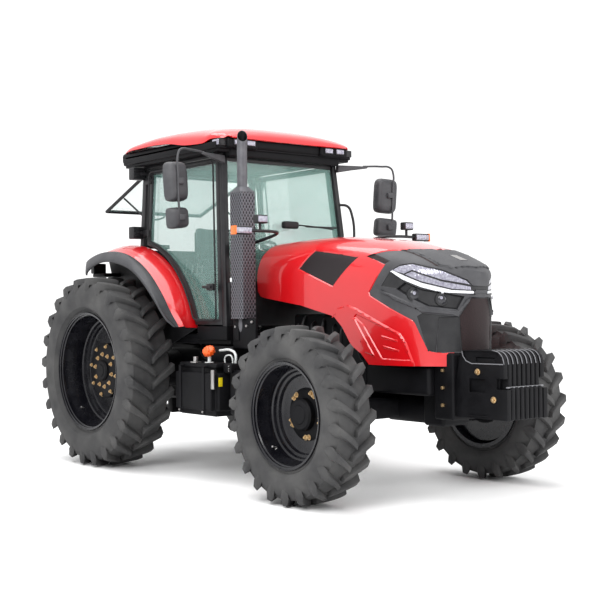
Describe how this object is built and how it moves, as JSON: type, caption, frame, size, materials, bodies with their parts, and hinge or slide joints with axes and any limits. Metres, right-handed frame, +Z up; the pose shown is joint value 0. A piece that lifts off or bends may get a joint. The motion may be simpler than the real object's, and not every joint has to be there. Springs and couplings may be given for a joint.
{
  "type": "four-wheel-drive farm tractor with cab",
  "caption": "Farm tractor with glazed cab, tipping bonnet, rear hitch, front weights, steered front wheels and opening doors",
  "frame": {"origin": "on the ground under the middle of the bounding box", "axes": "+X is forward, +Y is to the driver's left, +Z is up"},
  "size_m": [5.506, 2.6812, 3.14],
  "materials": {
    "red_paint": "glossy bright red",
    "black_paint": "satin black",
    "rim": "gloss black",
    "tyre": "matte dark grey",
    "grey_plastic": "matte dark grey",
    "cab_black": "matte black",
    "grille": "dark mesh",
    "glass": "green-tinted clear",
    "cloth": "woven dark grey",
    "steel": "bare steel",
    "exhaust": "dark perforated steel"
  },
  "bodies": {
    "chassis": {"engine_block": "black_paint", "rear_axle_housing": "black_paint", "front_axle": "black_paint", "front_support": "black_paint", "weight_carrier": "black_paint", "front_weights": "black_paint", "fuel_tank": "grey_plastic", "battery_box": "grey_plastic", "steps": "black_paint", "exhaust_stack": "exhaust", "cab_floor": "grey_plastic", "cab_frame": "cab_black", "roof_liner": "cab_black", "roof_shell": "red_paint", "windscreen": "glass", "rear_window": "glass", "fender_left": "red_paint", "fender_right": "red_paint", "mirror_left": "cab_black", "mirror_right": "cab_black", "seat": "cloth", "side_console": "cab_black", "dashboard": "cab_black", "top_link": "steel", "drawbar": "black_paint"},
    "lower_links": {"lower_link_left": "black_paint", "lower_link_right": "black_paint"},
    "lift_arms": {"lift_arms": "black_paint"},
    "lift_rods": {"lift_rod_left": "steel", "lift_rod_right": "steel"},
    "pto_shaft": {"pto_shaft": "steel"},
    "bonnet": {"bonnet": "red_paint", "bonnet_nose": "grey_plastic", "grille": "grille"},
    "door_left": {"door_left": "cab_black", "door_glass_left": "glass"},
    "door_right": {"door_right": "cab_black", "door_glass_right": "glass"},
    "steering_wheel": {"steering_wheel": "cab_black"},
    "knuckle_left": {"knuckle_left": "black_paint"},
    "knuckle_right": {"knuckle_right": "black_paint"},
    "tie_rod": {"tie_rod": "steel"},
    "wheel_front_left": {"rim_front_left": "rim", "tyre_front_left": "tyre"},
    "wheel_front_right": {"rim_front_right": "rim", "tyre_front_right": "tyre"},
    "wheel_rear_left": {"rim_rear_left": "rim", "tyre_rear_left": "tyre"},
    "wheel_rear_right": {"rim_rear_right": "rim", "tyre_rear_right": "tyre"}
  },
  "joints": [
    {"name": "wheel_rear_left_spin", "type": "hinge", "parent": "chassis", "child": "wheel_rear_left", "pos_m": [-1.53698, 1.015, 0.892], "axis": [0, 1, 0], "continuous": true},
    {"name": "steer_left", "type": "hinge", "parent": "chassis", "child": "knuckle_left", "pos_m": [1.46302, 0.8, 0.6735], "axis": [0, 0, 1], "range_deg": [-35, 35]},
    {"name": "wheel_front_left_spin", "type": "hinge", "parent": "knuckle_left", "child": "wheel_front_left", "pos_m": [1.46302, 1.0675, 0.6735], "axis": [0, 1, 0], "continuous": true},
    {"name": "door_left_hinge", "type": "hinge", "parent": "chassis", "child": "door_left", "pos_m": [-1.31198, 0.74998, 1.32059], "axis": [0, -0.0593, 0.9982], "range_deg": [0, 75]},
    {"name": "wheel_rear_right_spin", "type": "hinge", "parent": "chassis", "child": "wheel_rear_right", "pos_m": [-1.53698, -1.015, 0.892], "axis": [0, 1, 0], "continuous": true},
    {"name": "steer_right", "type": "hinge", "parent": "chassis", "child": "knuckle_right", "pos_m": [1.46302, -0.8, 0.6735], "axis": [0, 0, 1], "range_deg": [-35, 35]},
    {"name": "wheel_front_right_spin", "type": "hinge", "parent": "knuckle_right", "child": "wheel_front_right", "pos_m": [1.46302, -1.0675, 0.6735], "axis": [0, 1, 0], "continuous": true},
    {"name": "door_right_hinge", "type": "hinge", "parent": "chassis", "child": "door_right", "pos_m": [-1.31198, -0.74998, 1.32059], "axis": [0, -0.0593, -0.9982], "range_deg": [0, 75]},
    {"name": "tie_rod_pin", "type": "hinge", "parent": "knuckle_left", "child": "tie_rod", "pos_m": [1.25302, 0.8, 0.5835], "axis": [0, 0, 1], "range_deg": [-35, 35]},
    {"name": "steering_wheel_turn", "type": "hinge", "parent": "chassis", "child": "steering_wheel", "pos_m": [-0.44698, 0, 1.99], "axis": [-0.5, 0, 0.866], "range_deg": [-360, 360]},
    {"name": "bonnet_hinge", "type": "hinge", "parent": "chassis", "child": "bonnet", "pos_m": [0.26302, 0, 2.02], "axis": [0, -1, 0], "range_deg": [0, 50]},
    {"name": "hitch_lift", "type": "hinge", "parent": "chassis", "child": "lower_links", "pos_m": [-1.79698, 0, 0.62], "axis": [0, 1, 0], "range_deg": [-14, 30]},
    {"name": "lift_arm_turn", "type": "hinge", "parent": "chassis", "child": "lift_arms", "pos_m": [-1.73698, 0, 1.22], "axis": [0, 1, 0], "range_deg": [-14, 30]},
    {"name": "lift_rod_pin", "type": "hinge", "parent": "lift_arms", "child": "lift_rods", "pos_m": [-2.09347, 0, 1.1699], "axis": [0, 1, 0], "range_deg": [-30, 14]},
    {"name": "pto_turn", "type": "hinge", "parent": "chassis", "child": "pto_shaft", "pos_m": [-1.83698, 0, 0.68], "axis": [1, 0, 0], "continuous": true}
  ],
  "couplings": [
    {"joint": "steer_right", "follows": "steer_left", "ratio": 1},
    {"joint": "tie_rod_pin", "follows": "steer_left", "ratio": -1},
    {"joint": "steering_wheel_turn", "follows": "steer_left", "ratio": 10},
    {"joint": "lift_arm_turn", "follows": "hitch_lift", "ratio": 1},
    {"joint": "lift_rod_pin", "follows": "hitch_lift", "ratio": -1}
  ]
}
